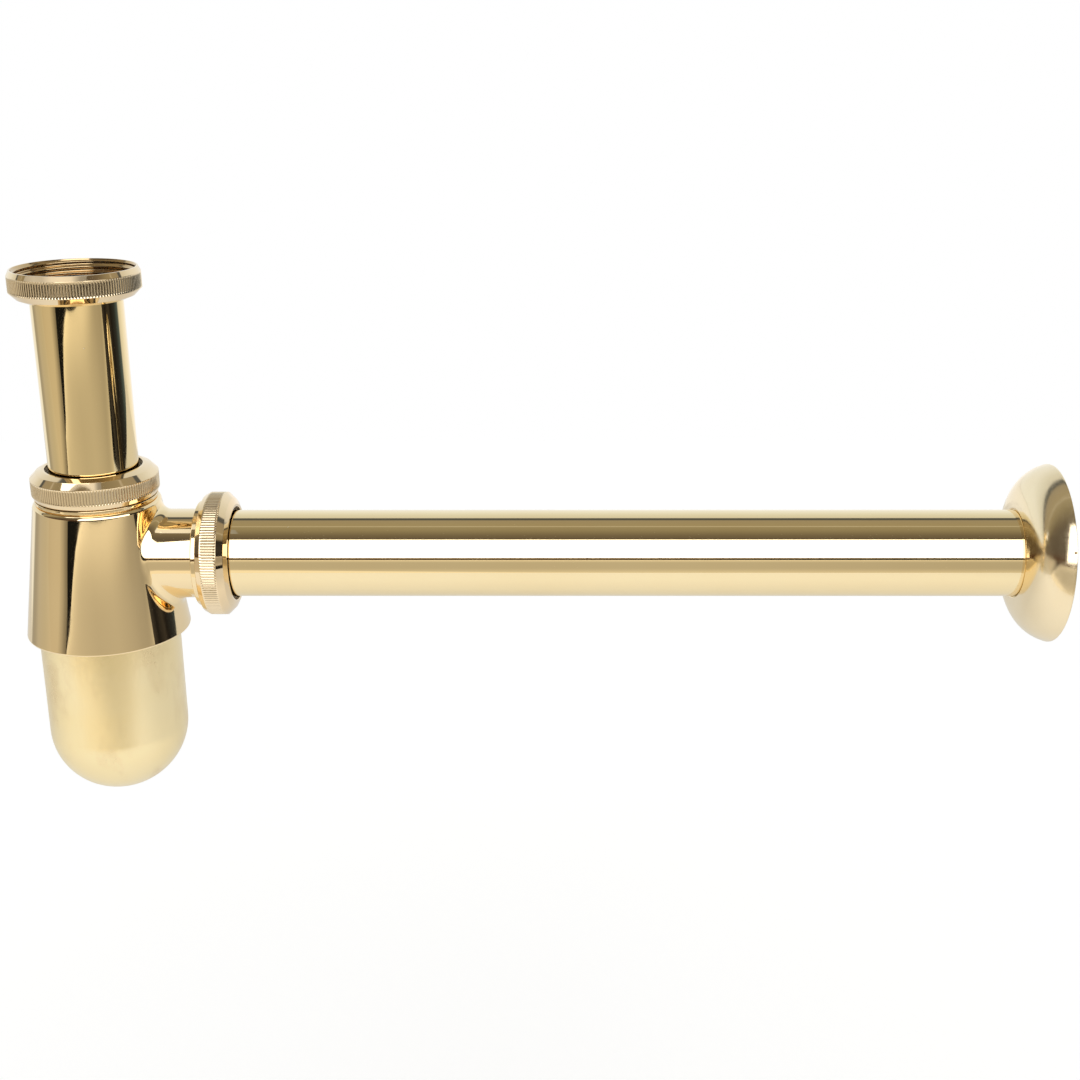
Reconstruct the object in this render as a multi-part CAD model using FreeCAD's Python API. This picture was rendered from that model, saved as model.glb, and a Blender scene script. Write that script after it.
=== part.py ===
"""Bottle trap in turned and cast brass: inlet tube, conical body, cleaning cup, outlet pipe and wall flange.

The origin lies on the inlet axis, on the sealing plane where the basin waste presses its washer.
+Z points up, out of the inlet nut, and +X runs along the outlet pipe to the wall. Millimetres.
"""
import FreeCAD, Part
import math
import os

from FreeCAD import Vector

os.makedirs("parts", exist_ok=True)

# Tubes
TUBE_OD = 32.0
TUBE_WALL = 1.0
FLARE_WIDTH = 3.6           # collar at the top of the inlet tube, beyond the tube
FLARE_THICKNESS = 1.2
DIP_DEPTH = 172.0           # sealing plane to the open end of the inlet tube

# Clearances
THREAD_PLAY = 0.05          # each side of the nominal thread diameter
CUP_PLAY = 0.08             # cup in the body's bottom bore, radial
SEAL_PLAY = 0.05            # rubber round a tube, radial
TUBE_PLAY = 0.3             # tube in a neck, socket or flange, radial
FACE_GAP = 0.05             # between stacked flat faces
NUT_GAP = 0.3               # between a nut's open end and the collar below it
END_GAP = 0.5               # outlet pipe to the bottom of its socket

# Union nuts, all alike: open end, knurled band, steep chamfer, bevel and lip round the tube
THREAD_OD = 41.91           # G 1 1/4
NUT_WALL = 1.75
NUT_OPEN_CHAMFER = 1.8
NUT_OPEN_DROP = 1.1
KNURL_LENGTH = 5.8
KNURL_PITCH = 1.0
KNURL_DEPTH = 0.35
KNURL_OVERSHOOT = 0.15      # the tooth tips' height above the flat crests
NUT_CHAMFER = 2.2
NUT_BEVEL = 1.0
NUT_LIP = 0.95
NUT_HOLE_PLAY = 1.3
NUT_FLOOR = 2.0
LEAD_IN = 0.5
WASHER_STEP = 0.4           # the washer's chamber is this much smaller than the thread

# Rubber and slip rings
WASHER_THICKNESS = 1.8
WASHER_BORE = 29.0
WASHER_PLAY = 0.3
RING_THICKNESS = 1.0
RING_PLAY = 0.4
SEAL_FLANGE = 2.4
SEAL_FLANGE_INSET = 0.8
SEAT_DEPTH = 2.6
SEAT_FLARE = 2.3
SEAT_GAP = 0.1
SEAL_TAIL_GAP = 0.3
GASKET_THICKNESS = 1.6
GASKET_INSET = 0.5          # the gasket's inner edge, inside the cup's wall

# Trap body
OUTLET_DROP = 100.0         # sealing plane to the outlet axis
BODY_ABOVE = 21.4           # outlet axis to the shoulder
BODY_BELOW = 29.4           # outlet axis to the bottom edge
BODY_TOP_D = 45.5
BASE_WALL = 4.1             # wall round the cup at the bottom edge, before its corner is rounded
SHOULDER_RADIUS = 1.6
BASE_RADIUS = 0.6
GROOVE_HEIGHT = 0.4
GROOVE_DEPTH = 0.7
COLLAR_HEIGHT = 1.1
COLLAR_INSET = 0.75
ROOF_THICKNESS = 3.0
BODY_WALL = 3.2
LEDGE_INSET = 0.7           # the gasket's ledge, inside the cup's inner wall
STUB_OD = 33.0
STUB_WALL = 2.2
STUB_REACH = 37.0           # inlet axis to the outlet collar
STUB_FILLET = 3.5
OUTLET_COLLAR = 2.0
OUTLET_COLLAR_INSET = 1.5
SOCKET_FLOOR = 0.5

# Cup
CUP_OD = 51.4
CUP_WALL = 1.6
CUP_ENGAGE = 12.4           # length of cup inside the body
CUP_DROP = 64.5             # the body's bottom edge to the cup's lowest point

# Wall flange
WALL_DISTANCE = 350.0       # inlet axis to the wall
PIPE_SHORT = 1.0            # the outlet pipe ends this far before the wall
FLANGE_D = 65.6
FLANGE_DEPTH = 12.8
FLANGE_FACE_DEPTH = 4.3
FLANGE_SKIRT_FLARE = 1.8
FLANGE_SHEET = 1.0
FLANGE_DOME_RADIUS = 8.5

# Sizes that follow
TUBE_R = TUBE_OD / 2
TUBE_BORE_R = TUBE_R - TUBE_WALL
FLARE_R = TUBE_R + FLARE_WIDTH
NECK_R = THREAD_OD / 2 - THREAD_PLAY
NUT_BORE_R = THREAD_OD / 2 + THREAD_PLAY
NUT_R = NUT_BORE_R + NUT_WALL
NUT_HOLE_R = TUBE_R + NUT_HOLE_PLAY
NUT_LENGTH = NUT_OPEN_CHAMFER + KNURL_LENGTH + NUT_CHAMFER + NUT_BEVEL
WASHER_CHAMBER_R = NUT_BORE_R - WASHER_STEP
SOCKET_R = TUBE_R + TUBE_PLAY
CUP_R = CUP_OD / 2
BODY_BASE_R = CUP_R + CUP_PLAY + BASE_WALL
CUP_BORE_R = CUP_R - CUP_WALL
STUB_R = STUB_OD / 2
STUB_BORE_R = STUB_R - STUB_WALL
SEAL_STACK = RING_THICKNESS + SEAL_FLANGE + 3 * FACE_GAP
NECK_LENGTH = NUT_GAP + NUT_LENGTH - NUT_FLOOR - SEAL_STACK

# Heights and distances along the two axes
INLET_FLOOR_Z = -(WASHER_THICKNESS + FLARE_THICKNESS + 2 * FACE_GAP)
AXIS_Z = -OUTLET_DROP
SHOULDER_Z = AXIS_Z + BODY_ABOVE
BODY_NECK_Z = SHOULDER_Z + GROOVE_HEIGHT + COLLAR_HEIGHT
BASE_Z = AXIS_Z - BODY_BELOW
CUP_RIM_Z = BASE_Z + CUP_ENGAGE
LEDGE_Z = CUP_RIM_Z + GASKET_THICKNESS + 2 * FACE_GAP
CUP_LOW_Z = BASE_Z - CUP_DROP
OUTLET_NECK_X = STUB_REACH + OUTLET_COLLAR
SOCKET_X = STUB_REACH + SOCKET_FLOOR
PIPE_END_X = WALL_DISTANCE - PIPE_SHORT


def rounded_wire(corners):
    """Closed wire in the XZ plane through (x, z, radius) corners, each rounded by a tangent arc."""
    points = [Vector(x, 0, z) for x, z, _ in corners]
    turns = []
    for index, (_, _, radius) in enumerate(corners):
        here = points[index]
        back = (points[index - 1] - here).normalize()
        onward = (points[(index + 1) % len(points)] - here).normalize()
        half = back.getAngle(onward) / 2
        inward = back + onward
        reach = radius / math.tan(half)
        middle = here
        if radius:
            middle = here + inward.normalize() * (radius / math.sin(half) - radius)
        turns.append((here + back * reach, middle, here + onward * reach))
    edges = []
    for index, (start, middle, end) in enumerate(turns):
        following = turns[(index + 1) % len(turns)][0]
        if corners[index][2]:
            edges.append(Part.Arc(start, middle, end).toShape())
        if end.distanceToPoint(following) > 1e-6:
            edges.append(Part.LineSegment(end, following).toShape())
    return Part.Wire(edges)


def turned(corners):
    """Solid of revolution about Z from (radius, height, corner radius) corners."""
    return Part.Face(rounded_wire(corners)).revolve(Vector(0, 0, 0), Vector(0, 0, 1), 360)


def ring(inner, outer, low, high):
    """Plain ring about Z between two radii and two heights."""
    return turned([(inner, low, 0), (outer, low, 0), (outer, high, 0), (inner, high, 0)])


def raised(shape, height):
    """A shape made about Z, moved up to the given height."""
    shape.translate(Vector(0, 0, height))
    return shape


def laid(shape, distance):
    """A shape made about Z, laid along the outlet axis with its zero at the given distance."""
    shape.rotate(Vector(0, 0, 0), Vector(0, 1, 0), 90)
    shape.translate(Vector(distance, 0, AXIS_Z))
    return shape


def knurl_prism():
    """Toothed prism that cuts a straight knurl into a nut's band."""
    teeth = round(2 * math.pi * NUT_R / KNURL_PITCH)
    points = []
    for index in range(2 * teeth):
        radius = NUT_R + KNURL_OVERSHOOT if index % 2 else NUT_R - KNURL_DEPTH
        angle = math.pi * index / teeth
        points.append(Vector(radius * math.cos(angle), radius * math.sin(angle), 0))
    outline = Part.makePolygon(points + points[:1])
    return Part.Face(outline).extrude(Vector(0, 0, NUT_LENGTH))


def union_nut(washer_depth=0.0):
    """Knurled nut with its open end at zero and its lip upwards; a washer chamber lies below its floor."""
    knurl_top = NUT_OPEN_CHAMFER + KNURL_LENGTH
    floor = NUT_LENGTH - NUT_FLOOR
    corners = [
        (NUT_R - NUT_OPEN_DROP, 0, 0),
        (NUT_R, NUT_OPEN_CHAMFER, 0),
        (NUT_R, knurl_top, 0),
        (NUT_R - NUT_CHAMFER, knurl_top + NUT_CHAMFER, 0),
        (NUT_HOLE_R + NUT_LIP, NUT_LENGTH, 0),
        (NUT_HOLE_R, NUT_LENGTH, 0),
        (NUT_HOLE_R, floor, 0),
    ]
    if washer_depth:
        corners += [(WASHER_CHAMBER_R, floor, 0), (WASHER_CHAMBER_R, floor - washer_depth, 0),
                    (NUT_BORE_R, floor - washer_depth, 0)]
    else:
        corners.append((NUT_BORE_R, floor, 0))
    corners += [(NUT_BORE_R, LEAD_IN, 0), (NUT_BORE_R + LEAD_IN / 2, 0, 0)]
    return turned(corners).common(knurl_prism())


def slip_ring():
    """Flat ring under a nut's floor, placed from the neck's foot."""
    high = NUT_GAP + NUT_LENGTH - NUT_FLOOR - FACE_GAP
    return ring(TUBE_R + RING_PLAY, NUT_BORE_R - RING_PLAY, high - RING_THICKNESS, high)


def tapered_seal():
    """Rubber ring with a flange on the neck's end and a tail in its seat, placed from the neck's foot."""
    inner = TUBE_R + SEAL_PLAY
    low = NECK_LENGTH + FACE_GAP
    tail = SEAT_DEPTH - SEAL_TAIL_GAP
    mouth = SOCKET_R + SEAT_FLARE - SEAT_GAP
    tip = mouth - SEAT_FLARE * tail / SEAT_DEPTH
    return turned([
        (inner, NECK_LENGTH - tail, 0),
        (tip, NECK_LENGTH - tail, 0),
        (mouth, NECK_LENGTH, 0),
        (mouth, low, 0),
        (NECK_R - SEAL_FLANGE_INSET, low, 0),
        (NECK_R - SEAL_FLANGE_INSET, low + SEAL_FLANGE, 0),
        (inner, low + SEAL_FLANGE, 0),
    ])


def seated_bore(length):
    """Room for a tube, with the seal's tapered seat at its outer end."""
    return turned([
        (0, 0, 0),
        (SOCKET_R, 0, 0),
        (SOCKET_R, length - SEAT_DEPTH, 0),
        (SOCKET_R + SEAT_FLARE, length, 0),
        (0, length, 0),
    ])


def inlet_nut():
    """Nut for the basin waste, lip downwards and open end up."""
    nut = union_nut(-INLET_FLOOR_Z)
    nut.rotate(Vector(0, 0, 0), Vector(1, 0, 0), 180)
    return raised(nut, INLET_FLOOR_Z - NUT_FLOOR + NUT_LENGTH)


def inlet_pipe():
    """Straight tube with a flared collar that hangs on the inlet nut's floor."""
    high = -WASHER_THICKNESS - FACE_GAP
    return turned([
        (TUBE_BORE_R, -DIP_DEPTH, 0),
        (TUBE_R, -DIP_DEPTH, 0),
        (TUBE_R, high - FLARE_THICKNESS, 0),
        (FLARE_R, high - FLARE_THICKNESS, 0),
        (FLARE_R, high, 0),
        (TUBE_BORE_R, high, 0),
    ])


def body_skin():
    """Outside of the casting: cone and outlet stub, blended where they meet."""
    cone = turned([
        (0, BASE_Z, 0),
        (BODY_BASE_R, BASE_Z, BASE_RADIUS),
        (BODY_TOP_D / 2, SHOULDER_Z, SHOULDER_RADIUS),
        (0, SHOULDER_Z, 0),
    ])
    stub = laid(Part.makeCylinder(STUB_R, STUB_REACH), 0)
    skin = cone.fuse(stub)
    joint_line = [edge for edge in skin.Edges if meets_stub(edge)]
    return skin.makeFillet(STUB_FILLET, joint_line)


def meets_stub(edge):
    """Whether an edge is the line where the stub leaves the cone."""
    samples = edge.discretize(9)
    on_stub = all(abs(math.hypot(p.y, p.z - AXIS_Z) - STUB_R) < 1e-4 for p in samples)
    lies_flat = max(p.x for p in samples) - min(p.x for p in samples) < 1e-4
    runs_along = max(p.z for p in samples) - min(p.z for p in samples) < 1e-4
    return on_stub and not lies_flat and not runs_along


def trap_body():
    """Hollow casting with its inlet neck, its outlet neck and the bore for the cup."""
    shoulder_r = BODY_TOP_D / 2
    neck = ring(SOCKET_R, NECK_R, SHOULDER_Z - ROOF_THICKNESS, BODY_NECK_Z + NECK_LENGTH)
    collar = ring(SOCKET_R, shoulder_r - COLLAR_INSET, SHOULDER_Z + GROOVE_HEIGHT, BODY_NECK_Z)
    foot = ring(SOCKET_R, shoulder_r - COLLAR_INSET - GROOVE_DEPTH, SHOULDER_Z - ROOF_THICKNESS,
                SHOULDER_Z + GROOVE_HEIGHT)
    outlet_collar = laid(ring(STUB_BORE_R, NECK_R - OUTLET_COLLAR_INSET, 0, OUTLET_COLLAR), STUB_REACH)
    outlet_neck = laid(ring(STUB_BORE_R, NECK_R, 0, NECK_LENGTH), OUTLET_NECK_X)
    solid = body_skin().fuse([neck, collar, foot, outlet_collar, outlet_neck])

    chamber = turned([
        (0, BASE_Z, 0),
        (CUP_R + CUP_PLAY, BASE_Z, 0),
        (CUP_R + CUP_PLAY, LEDGE_Z, 0),
        (CUP_BORE_R - LEDGE_INSET, LEDGE_Z, 0),
        (shoulder_r - BODY_WALL, SHOULDER_Z - ROOF_THICKNESS, 0),
        (0, SHOULDER_Z - ROOF_THICKNESS, 0),
    ])
    roof_depth = BODY_NECK_Z - (SHOULDER_Z - ROOF_THICKNESS)
    inlet_bore = raised(seated_bore(roof_depth + NECK_LENGTH), SHOULDER_Z - ROOF_THICKNESS)
    stub_bore = laid(Part.makeCylinder(STUB_BORE_R, SOCKET_X), 0)
    socket = laid(seated_bore(OUTLET_NECK_X + NECK_LENGTH - SOCKET_X), SOCKET_X)
    return solid.cut([chamber, inlet_bore, stub_bore, socket]).removeSplitter()


def cup():
    """Round-bottomed cup, open upwards."""
    return turned([
        (CUP_BORE_R, CUP_RIM_Z, 0),
        (CUP_BORE_R, CUP_LOW_Z + CUP_WALL, CUP_BORE_R),
        (0, CUP_LOW_Z + CUP_WALL, 0),
        (0, CUP_LOW_Z, 0),
        (CUP_R, CUP_LOW_Z, CUP_R),
        (CUP_R, CUP_RIM_Z, 0),
    ])


def inset_corner(before, corner, after, depth):
    """The corner of a line that runs at the given depth inside two straight runs."""
    back = (before - corner).normalize()
    onward = (after - corner).normalize()
    half = back.getAngle(onward) / 2
    return corner + (back + onward).normalize() * (depth / math.sin(half))


def wall_flange():
    """Spun sheet cover: a shallow conical face round the pipe, a rounded shoulder and a flared skirt."""
    hole = Vector(SOCKET_R, 0, 0)
    rim = Vector(FLANGE_D / 2, 0, FLANGE_DEPTH)
    shoulder = Vector(rim.x - FLANGE_SKIRT_FLARE, 0, FLANGE_FACE_DEPTH)
    inner_shoulder = inset_corner(hole, shoulder, rim, FLANGE_SHEET)
    hole_edge = FLANGE_SHEET * hole.distanceToPoint(shoulder) / (shoulder.x - hole.x)
    rim_edge = FLANGE_SHEET * rim.distanceToPoint(shoulder) / (rim.z - shoulder.z)
    return laid(turned([
        (hole.x, hole.z, 0),
        (shoulder.x, shoulder.z, FLANGE_DOME_RADIUS),
        (rim.x, rim.z, 0),
        (rim.x - rim_edge, rim.z, 0),
        (inner_shoulder.x, inner_shoulder.z, FLANGE_DOME_RADIUS - FLANGE_SHEET),
        (hole.x, hole_edge, 0),
    ]), WALL_DISTANCE - FLANGE_DEPTH)


NODES = {
    "inlet_nut": inlet_nut(),
    "inlet_washer": ring(WASHER_BORE / 2, WASHER_CHAMBER_R - WASHER_PLAY, -WASHER_THICKNESS, 0),
    "inlet_pipe": inlet_pipe(),
    "body_nut": raised(union_nut(), BODY_NECK_Z + NUT_GAP),
    "body_slip_ring": raised(slip_ring(), BODY_NECK_Z),
    "body_seal": raised(tapered_seal(), BODY_NECK_Z),
    "trap_body": trap_body(),
    "outlet_nut": laid(union_nut(), OUTLET_NECK_X + NUT_GAP),
    "outlet_slip_ring": laid(slip_ring(), OUTLET_NECK_X),
    "outlet_seal": laid(tapered_seal(), OUTLET_NECK_X),
    "outlet_pipe": laid(ring(TUBE_BORE_R, TUBE_R, 0, PIPE_END_X - SOCKET_X - END_GAP), SOCKET_X + END_GAP),
    "wall_flange": wall_flange(),
    "cup": cup(),
    "cup_gasket": ring(CUP_BORE_R - GASKET_INSET, CUP_R, CUP_RIM_Z + FACE_GAP,
                       CUP_RIM_Z + FACE_GAP + GASKET_THICKNESS),
}

for name, shape in NODES.items():
    shape.exportStep("parts/" + name + ".step")
    box = shape.BoundBox
    print(name, "solids", len(shape.Solids), "valid", shape.isValid(), "cm3", round(shape.Volume / 1000, 2),
          "x", round(box.XMin, 1), round(box.XMax, 1), "z", round(box.ZMin, 1), round(box.ZMax, 1))
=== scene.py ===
# %% [markdown]
# A bottle trap in polished brass. The waste water comes down the upright tube, turns round in the
# cup and leaves through the long pipe to the wall. The parts are turned, cast and spun, so nearly
# every piece is a profile carried round an axis. This lesson works those surfaces out with numpy,
# gives them brass finishes from nodes, and lights them as a small photo studio would.

# %% Load the measured parts
import math

import bmesh
import bpy
import numpy as np
from mathutils import Matrix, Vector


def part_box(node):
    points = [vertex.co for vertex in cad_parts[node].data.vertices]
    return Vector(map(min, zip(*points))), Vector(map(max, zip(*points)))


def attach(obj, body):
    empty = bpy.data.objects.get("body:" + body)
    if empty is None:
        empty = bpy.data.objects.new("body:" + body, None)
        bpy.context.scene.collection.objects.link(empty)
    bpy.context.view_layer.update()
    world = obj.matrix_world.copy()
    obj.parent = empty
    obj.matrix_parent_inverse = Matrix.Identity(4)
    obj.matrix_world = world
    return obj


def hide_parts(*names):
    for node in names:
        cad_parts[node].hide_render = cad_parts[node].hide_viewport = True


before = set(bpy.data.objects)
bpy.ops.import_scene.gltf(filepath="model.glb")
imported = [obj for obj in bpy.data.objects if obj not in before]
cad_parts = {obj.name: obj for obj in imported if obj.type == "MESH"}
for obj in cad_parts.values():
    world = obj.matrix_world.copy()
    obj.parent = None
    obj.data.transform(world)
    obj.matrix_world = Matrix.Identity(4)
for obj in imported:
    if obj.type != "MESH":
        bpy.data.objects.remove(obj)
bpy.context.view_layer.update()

# %% [markdown]
# Every size that the measured parts give is read from their boxes, so that the visible pieces follow
# them. Profiles are easier to think of in millimetres, so the numbers below are millimetres, and the
# points are scaled to metres when they go into a mesh.

# %% Sizes from the measured parts
MM = 0.001


def box_mm(node):
    """Lowest and highest corner of a measured part, in millimetres."""
    low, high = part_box(node)
    return np.array(low) / MM, np.array(high) / MM


pipe_low, pipe_high = box_mm("outlet_pipe")
tube_low, tube_high = box_mm("inlet_pipe")
nut_low, nut_high = box_mm("body_nut")
body_low, body_high = box_mm("trap_body")
cup_low, cup_high = box_mm("cup")
flange_low, flange_high = box_mm("wall_flange")

TUBE_R = (pipe_high[2] - pipe_low[2]) / 2
AXIS_Z = (pipe_high[2] + pipe_low[2]) / 2
NUT_R = (nut_high[0] - nut_low[0]) / 2
NUT_LENGTH = nut_high[2] - nut_low[2]
CUP_R = (cup_high[0] - cup_low[0]) / 2
TUBE_WALL = 1.0
print("tube radius", round(TUBE_R, 3), "outlet axis at", round(AXIS_Z, 2), "nut radius", round(NUT_R, 3))

# %% [markdown]
# A turned part never has a truly sharp edge: cutter and polishing wheel leave a small radius, which
# catches the light. So a profile is a list of corners, each with its own radius. An arc between two
# tangent points is a rational curve with three control points, which is exact without any bookkeeping
# of angles. Two extra points near the ends of each straight run hold the shading flat up to the arc.

# %% Profiles with rounded corners
ARC_TURN = math.radians(20)
ARC_STEP = 0.9
HOLD = 0.12
HOLD_SHARE = 0.15
TINY = 1e-6


def arc_points(start, corner, end, half_angle, radius):
    """Points on the arc from start to end whose tangents meet at the corner.

    The point at t is ((1-t)^2 start + 2 w t (1-t) corner + t^2 end) over the sum of those weights,
    with w the sine of half the angle between the two sides, which makes the curve a circle.
    """
    turn = math.pi - 2 * half_angle
    steps = max(2, math.ceil(turn / ARC_TURN), math.ceil(radius * turn / ARC_STEP))
    t = np.linspace(0, 1, steps + 1)[:, None]
    weight = math.sin(half_angle)
    first, middle, last = (1 - t) ** 2, 2 * weight * t * (1 - t), t ** 2
    return (first * start + middle * corner + last * end) / (first + middle + last)


def run_points(start, end, spacing):
    """Points inside a straight run: one hold point near each end, and more where a spacing is given."""
    length = float(np.linalg.norm(end - start))
    if length < TINY:
        return np.empty((0, 2))
    hold = min(HOLD, HOLD_SHARE * length)
    steps = max(1, math.ceil((length - 2 * hold) / spacing)) if spacing else 1
    t = np.linspace(hold / length, 1 - hold / length, steps + 1)[:, None]
    return start + (end - start) * t


def outline(corners, closed=True):
    """Points along a polygon of (radius from the axis, place along it, corner radius, spacing) corners.

    An arc leaves its corner's sides at corner radius / tan(half angle); the spacing is that of the run
    after the corner. Both are zero where left out: a sharp corner, and a run with only its hold points.
    """
    table = np.array([(*corner, 0, 0)[:4] for corner in corners], float)
    point, radius, spacing = table[:, :2], table[:, 2], table[:, 3]
    back = np.roll(point, 1, axis=0) - point
    ahead = np.roll(point, -1, axis=0) - point
    back /= np.linalg.norm(back, axis=1, keepdims=True)
    ahead /= np.linalg.norm(ahead, axis=1, keepdims=True)
    half = 0.5 * np.arccos(np.clip((back * ahead).sum(axis=1), -1, 1))
    reach = np.where(radius > 0, radius / np.maximum(np.tan(half), TINY), 0)[:, None]
    enter, leave = point + back * reach, point + ahead * reach
    runs = []
    for place in range(len(point)):
        after = (place + 1) % len(point)
        if radius[place] > 0:
            runs.append(arc_points(enter[place], point[place], leave[place], half[place], radius[place]))
        else:
            runs.append(point[place:place + 1])
        if closed or after:
            runs.append(run_points(leave[place], enter[after], spacing[place]))
    return np.concatenate(runs)


# %% [markdown]
# A profile carried round an axis is a grid: one row for each profile point, one column for each angle.
# The columns close on themselves, the rows close when the profile is a loop, and a row on the axis
# shrinks to a single point, the pole. Faces written from a grid of indices keep all of that in a few
# array operations.

# %% Surfaces from grids
def turned_about_z(radius, along, angle):
    """Point grid of a profile turned about the inlet axis: (r cos a, r sin a, along)."""
    radius, along, angle = np.broadcast_arrays(radius, along, angle)
    return np.stack([radius * np.cos(angle), radius * np.sin(angle), along], axis=-1)


def turned_about_x(radius, along, angle):
    """Point grid of a profile turned about the outlet axis: (along, r cos a, axis height + r sin a)."""
    radius, along, angle = np.broadcast_arrays(radius, along, angle)
    return np.stack([along, radius * np.cos(angle), AXIS_Z + radius * np.sin(angle)], axis=-1)


def grid_faces(index):
    """Four-cornered faces between neighbouring rows and columns of an index grid."""
    around = [index[:-1, :-1], index[1:, :-1], index[1:, 1:], index[:-1, 1:]]
    return np.stack(around, axis=-1).reshape(-1, 4)


def closed_grid(rows, columns, loop=True, poles=()):
    """Faces of a turned surface: columns always close, rows close in a loop, pole rows become a point."""
    index = np.arange(rows * columns).reshape(rows, columns)
    for row in poles:
        index[row] = index[row, 0]
    index = np.pad(index, ((0, 1 if loop else 0), (0, 1)), mode="wrap")
    return grid_faces(index)


def mesh_object(name, points_mm, faces):
    """Object from points in millimetres and four-cornered faces; repeated corners become triangles."""
    first, second, third, fourth = faces.T
    tip, foot = first == fourth, second == third
    flat = faces[~tip & ~foot]
    tips = faces[tip & ~foot][:, :3]
    feet = faces[foot & ~tip][:, [0, 1, 3]]
    corners = np.concatenate([flat.ravel(), tips.ravel(), feet.ravel()])
    used, renumbered = np.unique(corners, return_inverse=True)
    polygons = renumbered[:flat.size].reshape(-1, 4).tolist()
    polygons += renumbered[flat.size:].reshape(-1, 3).tolist()
    mesh = bpy.data.meshes.new(name)
    mesh.from_pydata((points_mm.reshape(-1, 3)[used] * MM).tolist(), [], polygons)
    shell = bmesh.new()
    shell.from_mesh(mesh)
    bmesh.ops.recalc_face_normals(shell, faces=shell.faces)
    open_edges = sum(not edge.is_manifold for edge in shell.edges)
    shell.to_mesh(mesh)
    shell.free()
    mesh.shade_smooth()
    made = bpy.data.objects.new(name, mesh)
    bpy.context.scene.collection.objects.link(made)
    triangles = sum(len(polygon.vertices) - 2 for polygon in mesh.polygons)
    print(name, "triangles", triangles, "open edges", open_edges)
    return made


def dress(made, finish, body, node):
    """Gives a piece its finish and the body it moves with, and hides the measured part it stands for."""
    made.data.materials.append(finish)
    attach(made, body)
    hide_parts(node)


def point_values(made, name, values):
    """Keeps a number at each point of a grid under a name, for the material to read."""
    kept = made.data.attributes.new(name, "FLOAT", "POINT")
    kept.data.foreach_set("value", values.ravel().astype(np.float32))


def angles(count):
    """Evenly spaced angles round a full circle, without the repeated last one."""
    return np.arange(count) * (2 * math.pi / count)


COLUMNS = 256


def turned_piece(name, turned, profile, start=0.0):
    """A loop profile turned about an axis, with its places along the axis counted from a start."""
    points = turned(profile[:, :1], start + profile[:, 1:], angles(COLUMNS))
    return mesh_object(name, points, closed_grid(len(profile), COLUMNS))


# %% [markdown]
# Polished brass is a metal with almost no roughness: its colour is the colour of its reflections. What
# makes it look real is the little that is not perfect: a slow drift of tone, a haze that comes and
# goes, hairlines from the polishing wheel and a few specks. Noise textures on Object coordinates give
# each of these at its own size, and they feed colour, roughness and bump.

# %% Small helpers for node finishes
# A node and its sockets know their own tree as id_data, so only the first nodes are given one
SPECK_CORE = 0.6


def feed(node, sockets):
    """Fills sockets of a node, by name or number, with a link from another socket or a fixed value."""
    for key, value in sockets.items():
        socket = node.inputs[key]
        if isinstance(value, bpy.types.NodeSocket):
            node.id_data.links.new(value, socket)
        else:
            socket.default_value = (*value, 1.0) if socket.type == "RGBA" else value


def add_node(tree, kind, sockets):
    """A new node of a kind with its sockets filled."""
    node = tree.nodes.new("ShaderNode" + kind)
    feed(node, sockets)
    return node


def new_finish(name, metallic=0.0):
    """A material with only its shader and output; returns it with its node tree and its shader."""
    finish = bpy.data.materials.new(name)
    finish.use_nodes = True
    shader = finish.node_tree.nodes["Principled BSDF"]
    shader.inputs["Metallic"].default_value = metallic
    return finish, finish.node_tree, shader


def place_on_piece(tree, stretch=(1, 1, 1), centre_mm=(0, 0, 0)):
    """Object coordinates measured from a centre, stretched so that a pattern runs along the piece."""
    place = add_node(tree, "TexCoord", {}).outputs["Object"]
    moved = [-c * MM * s for c, s in zip(centre_mm, stretch)]
    mapping = add_node(tree, "Mapping", {"Vector": place, "Location": moved, "Scale": stretch})
    return mapping.outputs["Vector"]


def three_parts(vector):
    """The X, Y and Z sockets of a place or a direction."""
    return add_node(vector.id_data, "SeparateXYZ", {"Vector": vector}).outputs


def attribute(tree, name):
    """The number that a piece keeps at its points under a name."""
    node = add_node(tree, "Attribute", {})
    node.attribute_name = name
    return node.outputs["Fac"]


def remap(value, low, high, to_low=0.0, to_high=1.0):
    """Value carried from one range to another and clamped there."""
    ranges = {"From Min": low, "From Max": high, "To Min": to_low, "To Max": to_high}
    return add_node(value.id_data, "MapRange", {"Value": value, **ranges}).outputs["Result"]


def noise(vector, cells, detail=2.0, roughness=0.5):
    """Noise value at a number of cells per metre."""
    sockets = {"Vector": vector, "Scale": cells, "Detail": detail, "Roughness": roughness}
    return add_node(vector.id_data, "TexNoise", sockets).outputs["Fac"]


def clouds(vector, cells, most=1.0):
    """Slow clouds from zero to their greatest share, for a drift between two tones."""
    return remap(noise(vector, cells, 3), 0.3, 0.7, 0.0, most)


def specks(vector, cells, size):
    """Small specks: one where the distance to a random cell point is under a size, zero elsewhere."""
    texture = add_node(vector.id_data, "TexVoronoi", {"Vector": vector, "Scale": cells})
    return remap(texture.outputs["Distance"], size, size * SPECK_CORE)


def combine(operation, first, second):
    """A value and a second one, or a number, put together by one arithmetic step."""
    node = add_node(first.id_data, "Math", {0: first, 1: second})
    node.operation = operation
    return node.outputs["Value"]


def plus(first, second):
    """Sum of two values."""
    return combine("ADD", first, second)


def times(first, second):
    """Product of two values."""
    return combine("MULTIPLY", first, second)


def blend_colour(share, first, second):
    """Colour between two colours, which are fixed colours or sockets, by a share from 0 to 1."""
    node = add_node(share.id_data, "Mix", {})
    node.data_type = "RGBA"
    feed(node, {0: share, 6: first, 7: second})
    return node.outputs[2]


def paint(shader, colour, roughness):
    """Gives the shader its colour and its roughness."""
    feed(shader, {"Base Color": colour, "Roughness": roughness})


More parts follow.
